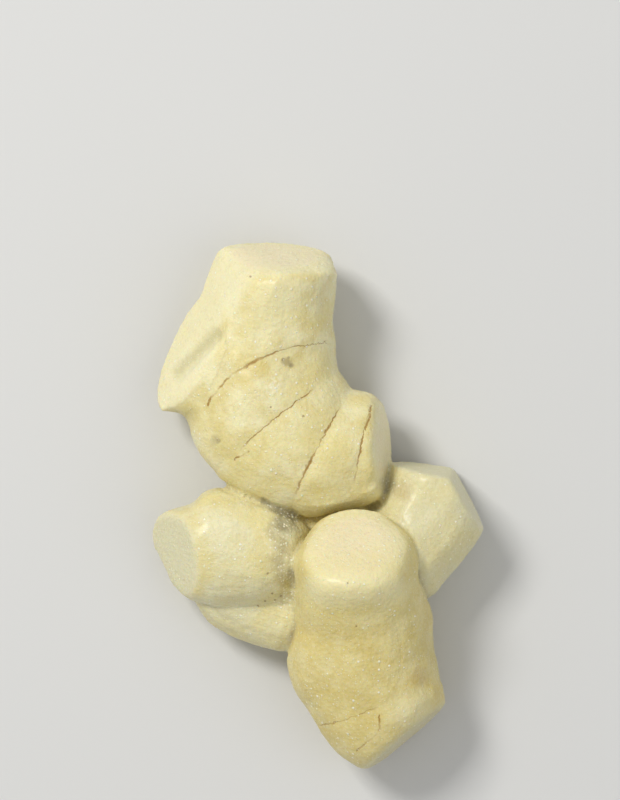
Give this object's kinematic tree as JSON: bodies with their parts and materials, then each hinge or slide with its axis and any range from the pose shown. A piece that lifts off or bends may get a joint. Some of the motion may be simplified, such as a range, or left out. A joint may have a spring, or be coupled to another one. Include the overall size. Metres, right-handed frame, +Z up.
{
  "type": "galangal root",
  "caption": "Peeled galangal rhizome lying on its side: a thick bent branch and a shorter stem with side buds, all ends cut with a knife, thin leaf scars round its limbs.",
  "frame": {"origin": "on the surface that the rhizome lies on, under the middle of its box", "axes": "+Z up from the surface, +Y along the rhizome's length towards the cut top of the bent branch, +X towards the right-hand bud as seen from above"},
  "size_m": [0.094, 0.1484, 0.0465],
  "materials": {
    "rhizome_flesh": "satin"
  },
  "bodies": {
    "root": {"galangal_rhizome": "rhizome_flesh"}
  },
  "joints": []
}
